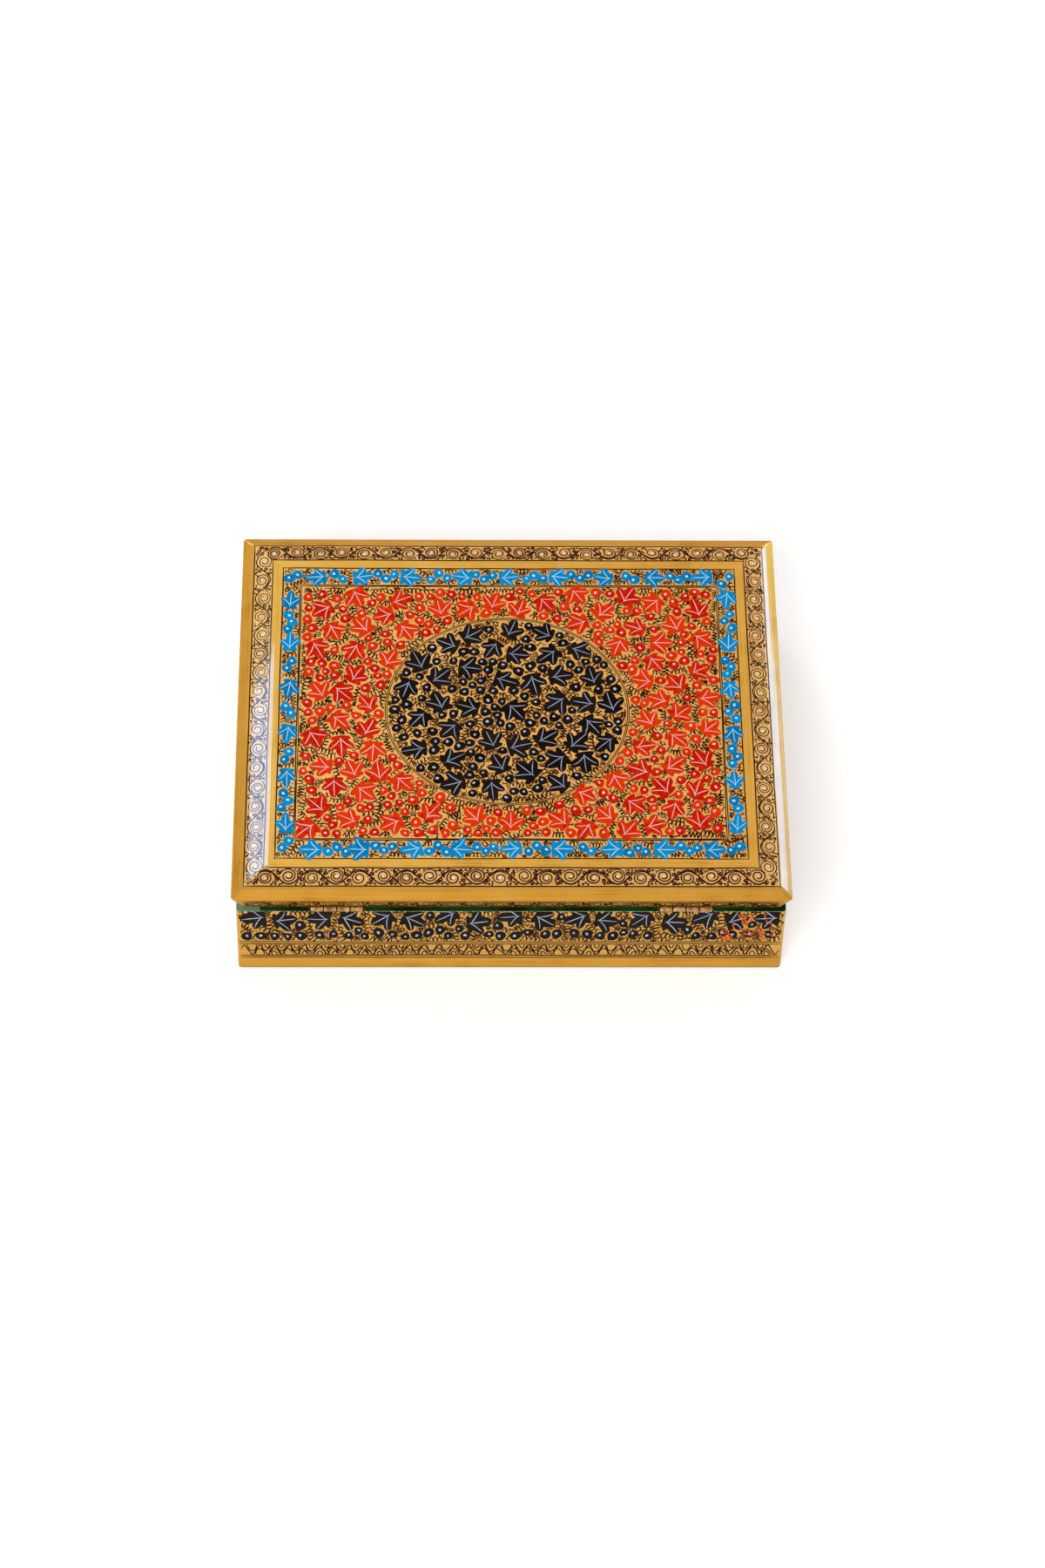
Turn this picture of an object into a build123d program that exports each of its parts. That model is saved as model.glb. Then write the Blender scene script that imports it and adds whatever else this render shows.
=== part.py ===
from build123d import *
import math
import os

# A painted and lacquered wooden box with a shallow, bevelled lid on two small brass hinges.
# Millimetres. X runs along the length, Y from the hinged back (-Y) to the front (+Y), Z up.
# The origin is the middle of the underside, and the lid is modelled shut.

# Base: four mitred walls that lean out a little towards the foot, and a floor let into them
BASE_LENGTH = 178.0          # outside, at the rim
BASE_DEPTH = 140.0           # outside, at the rim
RIM_HEIGHT = 35.8
WALL_THICKNESS = 6.0         # at the rim
WALL_DRAFT = 0.8             # how far a wall's foot stands out past its rim
FLOOR_THICKNESS = 3.0
FLOOR_REBATE = 2.5           # how far the floor is let into each wall
CORNER_ROUND = 1.0           # upright corners of the base and the lid, in plan
FOOT_ROUND = 0.6             # outer edge of the underside

# Lid: a bevelled board on four mitred strips, undercut between its widest edge and the rim
SEAM_GAP = 0.3               # between the rim and the closed lid
LID_LEDGE = 1.4              # rim left bare outside the lid's underside
LID_OVERHANG = 1.3           # how far the lid's widest edge stands out past the rim
WIDEST_HEIGHT = 8.8          # from the lid's underside up to its widest edge
EDGE_THICKNESS = 0.5         # upright flat of the widest edge
EDGE_ROUND = 0.2
EDGE_BAND_WIDTH = 4.0        # outer bevel, in plan
EDGE_BAND_DROP = 1.7
SCROLL_BAND_WIDTH = 6.4      # inner, flatter bevel, in plan
SCROLL_BAND_DROP = 0.75
BAND_BLEND = 11.0            # radius that rounds the scroll band into the outer bevel
FLAT_BLEND = 24.0            # radius that rounds the flat top into the scroll band
BOARD_LIP = 1.2              # how far the board reaches down below its widest edge

# Hinges: two small butt hinges, their leaves let in flush and their knuckles in a groove
HINGE_FROM_END = 32.5        # from the rim's end to the hinge's middle
HINGE_LENGTH = 17.2
HINGE_INSET = 0.8            # pin's axis, in from the rim's outer edge
KNUCKLE_COUNT = 4
KNUCKLE_RADIUS = 0.9
KNUCKLE_GAP = 0.15
PIN_RADIUS = 0.42
PIN_CLEARANCE = 0.05
PIN_HEAD_RADIUS = 0.7
PIN_HEAD_THICKNESS = 0.25
LEAF_THICKNESS = 0.6
LEAF_REACH = 4.4             # from the axis to the leaf's far edge
LEAF_CLEARANCE = 0.05        # round a leaf in its mortise
SWING_CLEARANCE = 0.1        # round the knuckles where the other half turns

# Hinge nails, countersunk and flush
NAILS_PER_LEAF = 2
NAIL_SPACING = 9.0
NAIL_OFFSET = 2.75           # from the axis
NAIL_HEAD_RADIUS = 0.95
NAIL_HEAD_DEPTH = 0.5
NAIL_SHANK_RADIUS = 0.45
NAIL_LENGTH = 5.0
NAIL_POINT = 1.2
NAIL_CLEARANCE = 0.02

# Worked out from the sizes above
OPENING_LENGTH = BASE_LENGTH - 2 * WALL_THICKNESS
OPENING_DEPTH = BASE_DEPTH - 2 * WALL_THICKNESS
LID_UNDERSIDE = RIM_HEIGHT + SEAM_GAP
WIDEST_LEVEL = LID_UNDERSIDE + WIDEST_HEIGHT
BOARD_LEVEL = WIDEST_LEVEL - BOARD_LIP
HINGE_SHIFT = BASE_LENGTH / 2 - HINGE_FROM_END
HINGE_AXIS_Y = HINGE_INSET - BASE_DEPTH / 2
HINGE_AXIS_Z = RIM_HEIGHT + SEAM_GAP / 2
KNUCKLE_PITCH = HINGE_LENGTH / KNUCKLE_COUNT
BLEND_FACET = 3.0            # degrees that each narrow facet of a rounded lid edge turns, at most

# Each side is cut as the front one and turned on about Z by a quarter turn from the one before
SIDES = ("front", "left", "back", "right")


def slab(levels):
    """A solid through rounded rectangles, one for each (grow, height) level.

    grow is how far the outline stands out past the rim's outer edge.
    """
    outlines = [
        Pos(0, 0, height)
        * RectangleRounded(BASE_LENGTH + 2 * grow, BASE_DEPTH + 2 * grow, CORNER_ROUND)
        for grow, height in levels
    ]
    layers = [loft([low, high], ruled=True) for low, high in zip(outlines, outlines[1:])]
    return layers[0].fuse(*layers[1:]) if layers[1:] else layers[0]


def opening(low, high):
    """The upright space inside the walls, between two heights."""
    tall = Align.CENTER, Align.CENTER, Align.MIN
    return Pos(0, 0, low) * Box(OPENING_LENGTH, OPENING_DEPTH, high - low, align=tall)


def mitred_side(ring, side):
    """One side of a ring of walls, cut off at 45 degrees through the opening's corners."""
    along, out = OPENING_LENGTH / 2, OPENING_DEPTH / 2
    if side in ("left", "right"):
        along, out = out, along
    reach = BASE_LENGTH
    corners = [(-along, out), (along, out), (along + reach, out + reach), (-along - reach, out + reach)]
    wedge = extrude(make_face(Polyline(*corners, close=True)), 2 * WIDEST_LEVEL)
    return ring & (Rot(0, 0, 90 * SIDES.index(side)) * wedge)


def make_floor():
    length = OPENING_LENGTH + 2 * FLOOR_REBATE
    depth = OPENING_DEPTH + 2 * FLOOR_REBATE
    return Box(length, depth, FLOOR_THICKNESS, align=(Align.CENTER, Align.CENTER, Align.MIN))


def make_base_walls():
    """The base's walls, by side, with the floor's rebate cut in."""
    block = slab([(WALL_DRAFT, 0), (0, RIM_HEIGHT)])
    foot = block.faces().sort_by(Axis.Z)[0]
    block = fillet(foot.edges(), FOOT_ROUND)
    ring = block - opening(0, RIM_HEIGHT) - make_floor()
    return {side: mitred_side(ring, side) for side in SIDES}


def undercut_grow(level):
    """How far the lid's undercut side stands out past the rim, at a height."""
    share = (level - LID_UNDERSIDE) / WIDEST_HEIGHT
    return (LID_OVERHANG + LID_LEDGE) * share - LID_LEDGE


def make_lid_sides():
    """The four strips under the lid's board, by side."""
    levels = [(undercut_grow(level), level) for level in (LID_UNDERSIDE, BOARD_LEVEL)]
    ring = slab(levels) - opening(LID_UNDERSIDE, BOARD_LEVEL)
    return {side: mitred_side(ring, side) for side in SIDES}


def rounded_corner(before, corner, after, radius):
    """Points along the arc that rounds one corner of the lid's profile."""
    into = (Vector(*corner) - Vector(*before)).normalized()
    out = (Vector(*after) - Vector(*corner)).normalized()
    half_turn = math.acos(min(into.dot(out), 1)) / 2
    steps = max(math.ceil(2 * math.degrees(half_turn) / BLEND_FACET), 1)
    middle = Vector(*corner) + (out - into).normalized() * (radius / math.cos(half_turn))
    start = Vector(*corner) - into * (radius * math.tan(half_turn)) - middle
    across = into * radius
    angles = [2 * half_turn * step / steps for step in range(steps + 1)]
    arc = [middle + start * math.cos(angle) + across * math.sin(angle) for angle in angles]
    return [(point.X, point.Y) for point in arc]


def make_lid_board():
    """The lid's top board, crowned: its bands are rounded into each other in narrow facets."""
    edge_top = WIDEST_LEVEL + EDGE_THICKNESS
    band_top = edge_top + EDGE_BAND_DROP
    flat_top = band_top + SCROLL_BAND_DROP
    band_edge = LID_OVERHANG - EDGE_BAND_WIDTH
    flat_edge = band_edge - SCROLL_BAND_WIDTH
    edge_round = min(EDGE_ROUND, 0.45 * EDGE_THICKNESS)
    profile = [
        (undercut_grow(BOARD_LEVEL), BOARD_LEVEL),
        (LID_OVERHANG, WIDEST_LEVEL),
        (LID_OVERHANG, edge_top),
        (band_edge, band_top),
        (flat_edge, flat_top),
        (2 * flat_edge, flat_top),
    ]
    levels = [profile[0]]
    for index, radius in enumerate((edge_round, edge_round, BAND_BLEND, FLAT_BLEND), start=1):
        levels += rounded_corner(*profile[index - 1:index + 2], radius)
    return slab(levels)


def along_x(radius, length, x=0):
    """A round bar about the hinge's axis, in the hinge's own frame."""
    return Pos(x, 0, 0) * Rot(0, 90, 0) * Cylinder(radius, length)


def knuckle_middle(index):
    return (index + 0.5) * KNUCKLE_PITCH - HINGE_LENGTH / 2


def nail(extra=0):
    """A countersunk nail pointing down from the origin, or its hole with some extra room."""
    shank, head = NAIL_SHANK_RADIUS + extra, NAIL_HEAD_RADIUS + extra
    outline = Polyline(
        (0, 0),
        (head, 0),
        (shank, -NAIL_HEAD_DEPTH),
        (shank, NAIL_POINT - NAIL_LENGTH),
        (0, -NAIL_LENGTH - extra),
        close=True,
    )
    return revolve(Plane.XZ * make_face(outline), Axis.Z)


def leaf_nails(side, extra=0):
    """The nails of one leaf: side -1 points down into the base, 1 points up into the lid."""
    turn = Rot(180, 0, 0) if side > 0 else Rot(0, 0, 0)
    first = -NAIL_SPACING * (NAILS_PER_LEAF - 1) / 2
    return [
        Pos(first + index * NAIL_SPACING, NAIL_OFFSET, side * SEAM_GAP / 2) * turn * nail(extra)
        for index in range(NAILS_PER_LEAF)
    ]


def make_leaf(side):
    """A leaf with its own knuckles, notched round the other leaf's."""
    height = side * (SEAM_GAP + LEAF_THICKNESS) / 2
    leaf = Pos(0, LEAF_REACH / 2, height) * Box(HINGE_LENGTH - KNUCKLE_GAP, LEAF_REACH, LEAF_THICKNESS)
    own = [index for index in range(KNUCKLE_COUNT) if (index % 2 == 0) == (side < 0)]
    for index in range(KNUCKLE_COUNT):
        middle = knuckle_middle(index)
        if index in own:
            leaf += along_x(KNUCKLE_RADIUS, KNUCKLE_PITCH - KNUCKLE_GAP, middle)
        else:
            leaf -= along_x(KNUCKLE_RADIUS + SWING_CLEARANCE, KNUCKLE_PITCH + KNUCKLE_GAP, middle)
    leaf -= along_x(PIN_RADIUS + PIN_CLEARANCE, HINGE_LENGTH)
    for hole in leaf_nails(side, NAIL_CLEARANCE):
        leaf -= hole
    return leaf


def make_pin():
    """The pin, its two ends hammered over past the outer knuckles."""
    pin = along_x(PIN_RADIUS, HINGE_LENGTH)
    for end in (-1, 1):
        middle = end * (HINGE_LENGTH + PIN_HEAD_THICKNESS) / 2
        pin += along_x(PIN_HEAD_RADIUS, PIN_HEAD_THICKNESS, middle)
    return pin


def hinge_seat(side):
    """What is cut from the wood for one hinge half: groove, mortise and nail holes."""
    room = 2 * (PIN_HEAD_THICKNESS + SWING_CLEARANCE)
    seat = along_x(KNUCKLE_RADIUS + SWING_CLEARANCE, HINGE_LENGTH + room)
    length = HINGE_LENGTH + 2 * LEAF_CLEARANCE
    reach = LEAF_REACH + LEAF_CLEARANCE
    depth = LEAF_THICKNESS + SEAM_GAP / 2
    seat += Pos(0, reach / 2, side * depth / 2) * Box(length, reach, depth)
    for hole in leaf_nails(side, NAIL_CLEARANCE):
        seat += hole
    return seat


def make_parts():
    """Every piece of the box, by name."""
    base_walls = make_base_walls()
    lid_sides = make_lid_sides()
    parts = {"base_floor": make_floor(), "lid_top_board": make_lid_board()}
    for hand, shift in (("left", -HINGE_SHIFT), ("right", HINGE_SHIFT)):
        place = Pos(shift, HINGE_AXIS_Y, HINGE_AXIS_Z)
        base_walls["back"] -= place * hinge_seat(-1)
        lid_sides["back"] -= place * hinge_seat(1)
        parts[f"hinge_{hand}_pin"] = place * make_pin()
        for half, side in (("base", -1), ("lid", 1)):
            parts[f"hinge_{hand}_{half}_leaf"] = place * make_leaf(side)
            placed = [place * one_nail for one_nail in leaf_nails(side)]
            parts[f"hinge_{hand}_{half}_nails"] = Compound(children=placed)
    for side in SIDES:
        parts[f"base_{side}_wall"] = base_walls[side]
        parts[f"lid_{side}_side"] = lid_sides[side]
    return parts


os.makedirs("parts", exist_ok=True)
for name, part in make_parts().items():
    part.label = name
    export_step(part, f"parts/{name}.step")
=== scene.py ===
import math
from random import Random

import bpy
import numpy as np
from mathutils import Matrix, Vector


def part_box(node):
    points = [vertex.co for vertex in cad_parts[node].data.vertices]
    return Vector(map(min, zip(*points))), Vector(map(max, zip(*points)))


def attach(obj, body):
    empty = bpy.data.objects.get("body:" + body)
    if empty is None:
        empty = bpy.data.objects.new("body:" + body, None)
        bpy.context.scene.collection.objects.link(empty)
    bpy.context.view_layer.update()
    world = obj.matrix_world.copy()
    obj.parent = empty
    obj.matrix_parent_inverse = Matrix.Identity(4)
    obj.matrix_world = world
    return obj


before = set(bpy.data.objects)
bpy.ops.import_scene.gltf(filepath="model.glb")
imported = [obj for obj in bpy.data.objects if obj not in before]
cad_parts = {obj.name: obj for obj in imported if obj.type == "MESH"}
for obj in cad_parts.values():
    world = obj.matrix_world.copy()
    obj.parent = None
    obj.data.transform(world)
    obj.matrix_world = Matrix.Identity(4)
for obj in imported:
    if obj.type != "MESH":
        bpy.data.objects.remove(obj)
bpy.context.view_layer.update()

# Looks of the lacquered box: paint, lacquer, lights and camera. Distances are in millimetres
# unless a comment says otherwise, and MM turns them into metres.
MM = 0.001
SEED = 11

# Where the photographed view was taken from
CAMERA_PLACE = (-22.861, -678.732, 1075.209)
CAMERA_PITCH = 57.665        # degrees below the horizon
CAMERA_YAW = 2.344
CAMERA_ROLL = 2.064
CAMERA_LENS = 85.45
CAMERA_SENSOR = 36.0
CAMERA_REACH = 20            # metres

# The solids' sizes
LID_HIGH = np.array(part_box("lid_top_board")[1]) / MM
LID_HALF = LID_HIGH[:2]
BASE_HIGH = np.array(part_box("base_front_wall")[1]) / MM
RIM_LEVEL = BASE_HIGH[2]
FOOT_HALF = np.array([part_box("base_right_wall")[1][0], BASE_HIGH[1] * MM]) / MM
WALL_DRAFT = 0.8             # how far the walls' foot stands out past the rim
RIM_HALF = FOOT_HALF - WALL_DRAFT
SIDE_LOW = np.array(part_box("lid_front_side")[0]) / MM
UNDERSIDE = SIDE_LOW[2]
WIDEST_LEVEL = UNDERSIDE + 8.8
UNDERCUT = 2.7               # from the lid's widest edge in to its underside
OPENING_HALF = np.array([83.0, 64.0])
HINGE_MIDDLE = (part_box("hinge_left_pin")[0][0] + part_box("hinge_left_pin")[1][0]) / 2 / MM
KNUCKLE_LENGTH = 4.3
SIDES = ("front", "left", "back", "right")
BACK = 2

# Ornament on the lid's top, as distances in from its widest edge
SCROLL_OUTER = 4.0
SCROLL_INNER = 10.4
BORDER_OUTER = 13.9
BORDER_INNER = np.array([20.3, 21.4])
MEDALLION = np.array([40.4, 37.0])
MEDALLION_CENTRE = np.array([-1.0, 0.0])
BORDER_HALF = LID_HALF - BORDER_OUTER
FIELD_HALF = LID_HALF - BORDER_INNER

# Ornament on the base's walls, as distances down from the rim
LEAF_BAND = 18.8
WAVE_BAND = (20.7, 27.3)
WALL_RULES = (19.1, 20.4, 27.6, 28.9)
WALL_STRETCH = 1.55          # the walls' ornament is drawn this much taller than wide
RIM_MARGIN = 0.12            # no paint comes nearer to the rim's edge

# Heights of the paint above the lacquered ground
BURIED = -0.02
LINE_RISE = 0.03
PETAL_RISE = 0.05
TOUCH_RISE = PETAL_RISE + 0.01
VEIN_RISE = 0.08
OVERLAP = 0.012              # how far shapes that cross each other differ in height

# Sizes of the brushwork
BERRY_RADIUS = 1.72
VEIN_WIDTH = 0.27
STROKE_WIDTH = 0.42
RULE_WIDTH = 0.4
ROOM_STEP = 0.25             # grid that free room is measured on

# The clear lacquer is thick on the lid's top, thin on the sides, and the green paint has none
THICK_COAT = 0.45
THIN_COAT = 0.1
PAINT_COAT = 0.12
LACQUER_EDGE = 1.4           # how far in from the widest edge the thick lacquer starts

# Noise cells to a metre in the gold: fine across the brush's way and long along it, for the sides
# that run along X and along Y, and the same all ways for the rest
STREAK_SCALES = ((22, 2300, 2300), (2300, 22, 2300))
BLOTCH_SCALE = 90.0
GRAIN_SCALE = 1500.0
RAGGED_SCALE = 260.0

# Where the gold ends
RAGGED_EDGE = 0.5            # how much a painted edge wanders
GREEN_SPARE = 0.05           # past the opening's sides
GREEN_BELOW_WIDEST = 1.1
GREEN_OVER_RIM = 0.03        # down the walls' outside
GREEN_UP_SIDE = 0.12         # up the lid's sides
GREEN_HIGHLIGHT_FROM = 81.5             # where a painted highlight lightens the back rim's green, towards its left end
UNDER_LEVEL = 0.75           # how far up the foot the colour is dark


# Colours


def linear(*levels):
    """A linear colour from 0 to 255 display levels."""
    return [((v / 255 + 0.055) / 1.055) ** 2.4 if v > 10 else v / 255 / 12.92 for v in levels]


GOLD = linear(226, 161, 60)
GOLD_DEEP = linear(198, 132, 38)
GOLD_PALE = linear(240, 182, 88)
GREEN = linear(8, 72, 42)
GREEN_DEEP = linear(6, 36, 24)
# painted highlight on the green rim
GREEN_PAINTED_HIGHLIGHT = linear(112, 150, 124)
UNDER = linear(40, 30, 22)
BRASS = linear(176, 132, 76)
BRASS_PALE = linear(226, 190, 134)
# painted shade for the gaps between the hinge knuckles
KNUCKLE_GAP_SHADE = linear(58, 38, 20)

# What the gold's red, green and blue are multiplied by
OUTER_PAINTED_SHADE = (0.8, 0.82, 0.75)    # painted shade on the lid outside the scroll bands and on its undercut sides, partly a deeper gold there
WALL_PAINTED_SHADE = (0.84, 0.9, 0.7)      # painted shade on the base's walls
DRAWN_SHADE = (1.1, 1.1, 1.95)     # under the border, field and medallion
BAND_SHADE = (1.08, 1.16, 2.4)     # under the scroll bands and the walls' ornament

# Each paint's display levels where it is thick and where it is thin
BROWN = ((38, 8, 2), (54, 20, 6))
PAINTS = {
    "red": ((190, 20, 0), (222, 54, 2)),
    "blue": ((0, 116, 172), (4, 140, 202)),
    "black": ((18, 12, 8), (30, 22, 18)),
    "line": BROWN,
    "band": BROWN,
    "pink": ((252, 200, 200), (244, 176, 172)),
    "grey": ((164, 172, 196), (138, 146, 172)),
    "mist": ((196, 200, 220), (160, 166, 192)),
    "pale": ((206, 236, 250), (186, 224, 244)),
    "cream": ((240, 218, 212), (224, 194, 184)),
    "orange": ((226, 84, 16), (240, 120, 40)),
}
GLOSSY = ("band", "cream")   # paints on the bevel, under the same thick lacquer as the gold there


# Materials


class Shader:
    """The nodes of one material, or of the world."""

    def __init__(self, name, kind=bpy.data.materials):
        self.owner = kind.new(name)
        self.owner.use_nodes = True
        self.tree = self.owner.node_tree
        self.tree.nodes.clear()

    def node(self, kind, inputs=None, **settings):
        made = self.tree.nodes.new("ShaderNode" + kind)
        for key, value in settings.items():
            setattr(made, key, value)
        for key, value in (inputs or {}).items():
            if isinstance(value, bpy.types.NodeSocket):
                self.tree.links.new(value, made.inputs[key])
            else:
                made.inputs[key].default_value = value
        return made

    def math(self, operation, first, second=0.0):
        return self.node("Math", {0: first, 1: second}, operation=operation).outputs[0]

    def product(self, first, second):
        return self.math("MULTIPLY", first, second)

    def rest(self, share):
        """What is left of 1."""
        return self.math("SUBTRACT", 1.0, share)

    def mix(self, share, first, second):
        """A colour between two, by share."""
        colours = {6: first, 7: second}
        colours = {k: (*v, 1) if isinstance(v, (list, tuple)) else v for k, v in colours.items()}
        return self.node("Mix", {0: share, **colours}, data_type="RGBA").outputs[2]

    def tint(self, share, colour, factors):
        """The colour with each channel multiplied, by share."""
        inputs = {0: share, 6: colour, 7: (*factors, 1)}
        return self.node("Mix", inputs, data_type="RGBA", blend_type="MULTIPLY").outputs[2]

    def place(self):
        return self.node("TexCoord").outputs["Object"]

    def noise(self, vector, scale, detail=3.0, roughness=0.55):
        inputs = {"Vector": vector, "Scale": scale, "Detail": detail, "Roughness": roughness}
        return self.node("TexNoise", inputs).outputs["Fac"]

    def step(self, value, start, end):
        """A smooth step from 0 at start to 1 at end."""
        inputs = {"Value": value, 1: start, 2: end}
        return self.node("MapRange", inputs, interpolation_type="SMOOTHSTEP").outputs[0]

    def bump(self, height, distance):
        inputs = {"Height": height, "Distance": distance * MM, "Strength": 1.0}
        return self.node("Bump", inputs).outputs[0]

    def surface(self, **inputs):
        """The last node: a principled surface."""
        named = {key.replace("_", " "): value for key, value in inputs.items()}
        last = self.node("BsdfPrincipled", named)
        self.node("OutputMaterial", {"Surface": last.outputs[0]})
        return self.owner


class Whereabouts:
    """Sockets that tell where a point of the box is, in metres, and how its paint varies there."""

    def __init__(self, s):
        self.place = s.place()
        axes = s.node("SeparateXYZ", {0: self.place})
        self.x, self.y, self.z = (axes.outputs[i] for i in range(3))
        self.across, self.along = s.math("ABSOLUTE", self.x), s.math("ABSOLUTE", self.y)
        from_end = s.math("SUBTRACT", LID_HALF[0] * MM, self.across)
        from_front = s.math("SUBTRACT", LID_HALF[1] * MM, self.along)
        self.from_edge = s.math("MINIMUM", from_end, from_front)
        self.on_lid = s.math("GREATER_THAN", self.z, UNDERSIDE * MM)

        on_end = s.math("LESS_THAN", from_end, from_front)
        streaks = []
        for scales in STREAK_SCALES:
            scaled = s.node("VectorMath", {0: self.place, 1: scales}, operation="MULTIPLY").outputs[0]
            streaks.append(s.noise(scaled, 1.0, 4.0, 0.65))
        inputs = {0: on_end, 2: streaks[0], 3: streaks[1]}
        self.streak = s.node("Mix", inputs, data_type="FLOAT").outputs[0]
        self.blotch = s.noise(self.place, BLOTCH_SCALE, 4.0)
        uneven = s.math("SUBTRACT", s.noise(self.place, RAGGED_SCALE), 0.5)
        self.ragged = s.product(uneven, RAGGED_EDGE * MM)


def gold_paint(s, at):
    """Brushed gold: darker outside the scrolls and on the walls as painted shade, partly a deeper gold on
    the lid; paler under the ornament.
    """
    shade = s.math("ADD", s.product(at.streak, 0.6), s.product(at.blotch, 0.4))
    gold = s.mix(s.step(shade, 0.34, 0.5), GOLD_DEEP, GOLD)
    gold = s.mix(s.step(shade, 0.52, 0.72), gold, GOLD_PALE)
    starts = (SCROLL_OUTER, SCROLL_INNER, BORDER_OUTER)
    scroll, flat, border = (s.math("GREATER_THAN", at.from_edge, start * MM) for start in starts)
    on_base = s.rest(at.on_lid)
    # Painted shade: the lid outside the scrolls, with its undercut sides, and the base's walls are darkened.
    gold = s.tint(s.product(at.on_lid, s.rest(scroll)), gold, OUTER_PAINTED_SHADE)
    gold = s.tint(on_base, gold, WALL_PAINTED_SHADE)
    gold = s.tint(border, gold, DRAWN_SHADE)
    above_rules = s.math("GREATER_THAN", at.z, (RIM_LEVEL - WALL_RULES[-1]) * MM)
    in_band = s.math("MAXIMUM", s.math("SUBTRACT", scroll, flat), s.product(above_rules, on_base))
    return s.tint(in_band, gold, BAND_SHADE)


def green_share(s, at):
    """1 inside the box, on the rim and a little way up the lid's sides, otherwise 0."""
    inside_x = s.math("LESS_THAN", at.across, (OPENING_HALF[0] + GREEN_SPARE) * MM)
    inside_y = s.math("LESS_THAN", at.along, (OPENING_HALF[1] + GREEN_SPARE) * MM)
    below_top = s.math("LESS_THAN", at.z, (WIDEST_LEVEL - GREEN_BELOW_WIDEST) * MM)
    inside = s.product(s.product(inside_x, inside_y), below_top)
    above_wall = s.math("GREATER_THAN", at.z, (RIM_LEVEL - GREEN_OVER_RIM) * MM)
    raised = s.math("ADD", at.z, at.ragged)
    below_side = s.math("LESS_THAN", raised, (UNDERSIDE + GREEN_UP_SIDE) * MM)
    return s.math("MAXIMUM", inside, s.product(above_wall, below_side))


def green_paint(s, at):
    """Blotchy green, with a pale painted highlight at the back rim's left end."""
    paint = s.mix(s.step(at.blotch, 0.4, 0.62), GREEN_DEEP, GREEN)
    # Painted highlight: pale green over the back rim's left end.
    wandering = s.math("ADD", at.x, s.product(at.ragged, 6.0))
    at_end = s.math("LESS_THAN", wandering, -GREEN_HIGHLIGHT_FROM * MM)
    at_back = s.math("LESS_THAN", at.y, -OPENING_HALF[1] * MM)
    return s.mix(s.product(s.product(at_end, at_back), 0.8), paint, GREEN_PAINTED_HIGHLIGHT)


def make_lacquer():
    """Brushed gold paint under clear lacquer; green inside and on the rims, dark underneath."""
    s = Shader("gold_lacquer")
    at = Whereabouts(s)
    green = green_share(s, at)
    wandering = s.math("ADD", at.z, s.product(at.ragged, 0.3))
    underneath = s.math("LESS_THAN", wandering, UNDER_LEVEL * MM)
    colour = s.mix(green, gold_paint(s, at), green_paint(s, at))
    colour = s.mix(underneath, colour, UNDER)
    on_top = s.product(at.on_lid, s.math("GREATER_THAN", at.from_edge, LACQUER_EDGE * MM))
    coat_there = s.math("ADD", THIN_COAT, s.product(on_top, THICK_COAT - THIN_COAT))
    grain = s.product(s.noise(at.place, GRAIN_SCALE, 2.0), 0.25)
    return s.surface(
        Base_Color=colour,
        Metallic=s.product(s.rest(s.math("MAXIMUM", green, underneath)), 0.35),
        Roughness=0.42,
        Specular_IOR_Level=0.0,
        Coat_Weight=s.product(s.rest(green), coat_there),
        Coat_Roughness=0.05,
        Normal=s.bump(s.math("ADD", at.streak, grain), 0.035),
        Coat_Normal=s.bump(at.blotch, 0.02),
    )


def make_paint(name, thick, thin, lacquer):
    """Opaque brush paint under lacquer: thick and thin strokes of one colour."""
    s = Shader(name)
    place = s.place()
    tone = s.node("Attribute", attribute_name="tone").outputs["Fac"]
    stroke = s.math("ADD", s.noise(place, 600.0), s.product(tone, 0.36))
    return s.surface(
        Base_Color=s.mix(s.step(stroke, 0.5, 0.82), thick, thin),
        Roughness=0.5,
        Specular_IOR_Level=0.0,
        Coat_Weight=lacquer,
        Coat_Roughness=0.09,
        Normal=s.bump(s.noise(place, 2400.0), 0.01),
    )


def make_brass():
    """Dulled brass, with painted shade in the seams between the knuckles."""
    s = Shader("hinge_brass")
    place = s.place()
    tarnish = s.noise(place, 500.0, 4.0)
    x = s.node("SeparateXYZ", {0: place}).outputs[0]
    along = s.math("ABSOLUTE", s.math("SUBTRACT", s.math("ABSOLUTE", x), abs(HINGE_MIDDLE) * MM))
    # Painted shade darkens the seams between the knuckles.
    to_seam = s.math("PINGPONG", along, KNUCKLE_LENGTH / 2 * MM)
    in_seam = s.rest(s.step(to_seam, 0.14 * MM, 0.3 * MM))
    return s.surface(
        Base_Color=s.mix(in_seam, s.mix(s.step(tarnish, 0.36, 0.7), BRASS, BRASS_PALE), KNUCKLE_GAP_SHADE),
        Metallic=1.0,
        Roughness=s.step(tarnish, 1.3, 0.1),
        Normal=s.bump(tarnish, 0.015),
    )


def paint_material(colour):
    name = "paint_" + colour
    thick, thin = (linear(*levels) for levels in PAINTS[colour])
    lacquer = THICK_COAT if colour in GLOSSY else PAINT_COAT
    return bpy.data.materials.get(name) or make_paint(name, thick, thin, lacquer)


def paint_the_solids():
    lacquer, brass = make_lacquer(), make_brass()
    for name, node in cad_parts.items():
        node.data.materials.clear()
        node.data.materials.append(brass if name.startswith("hinge") else lacquer)


# Where the ornament goes: each surface turns flat points and heights into places, in millimetres.
# Sides are counted as in SIDES, and each half is a pair: half the length and half the depth.


def outward(side):
    """The direction out of a side, seen from above."""
    turn = math.radians(90 * side)
    return np.array([-math.sin(turn), math.cos(turn)])


def reach_of(side, half):
    """How far a side lies from the middle."""
    return half[1 - side % 2]


def length_of(side, half):
    return 2 * half[side % 2]


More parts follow.
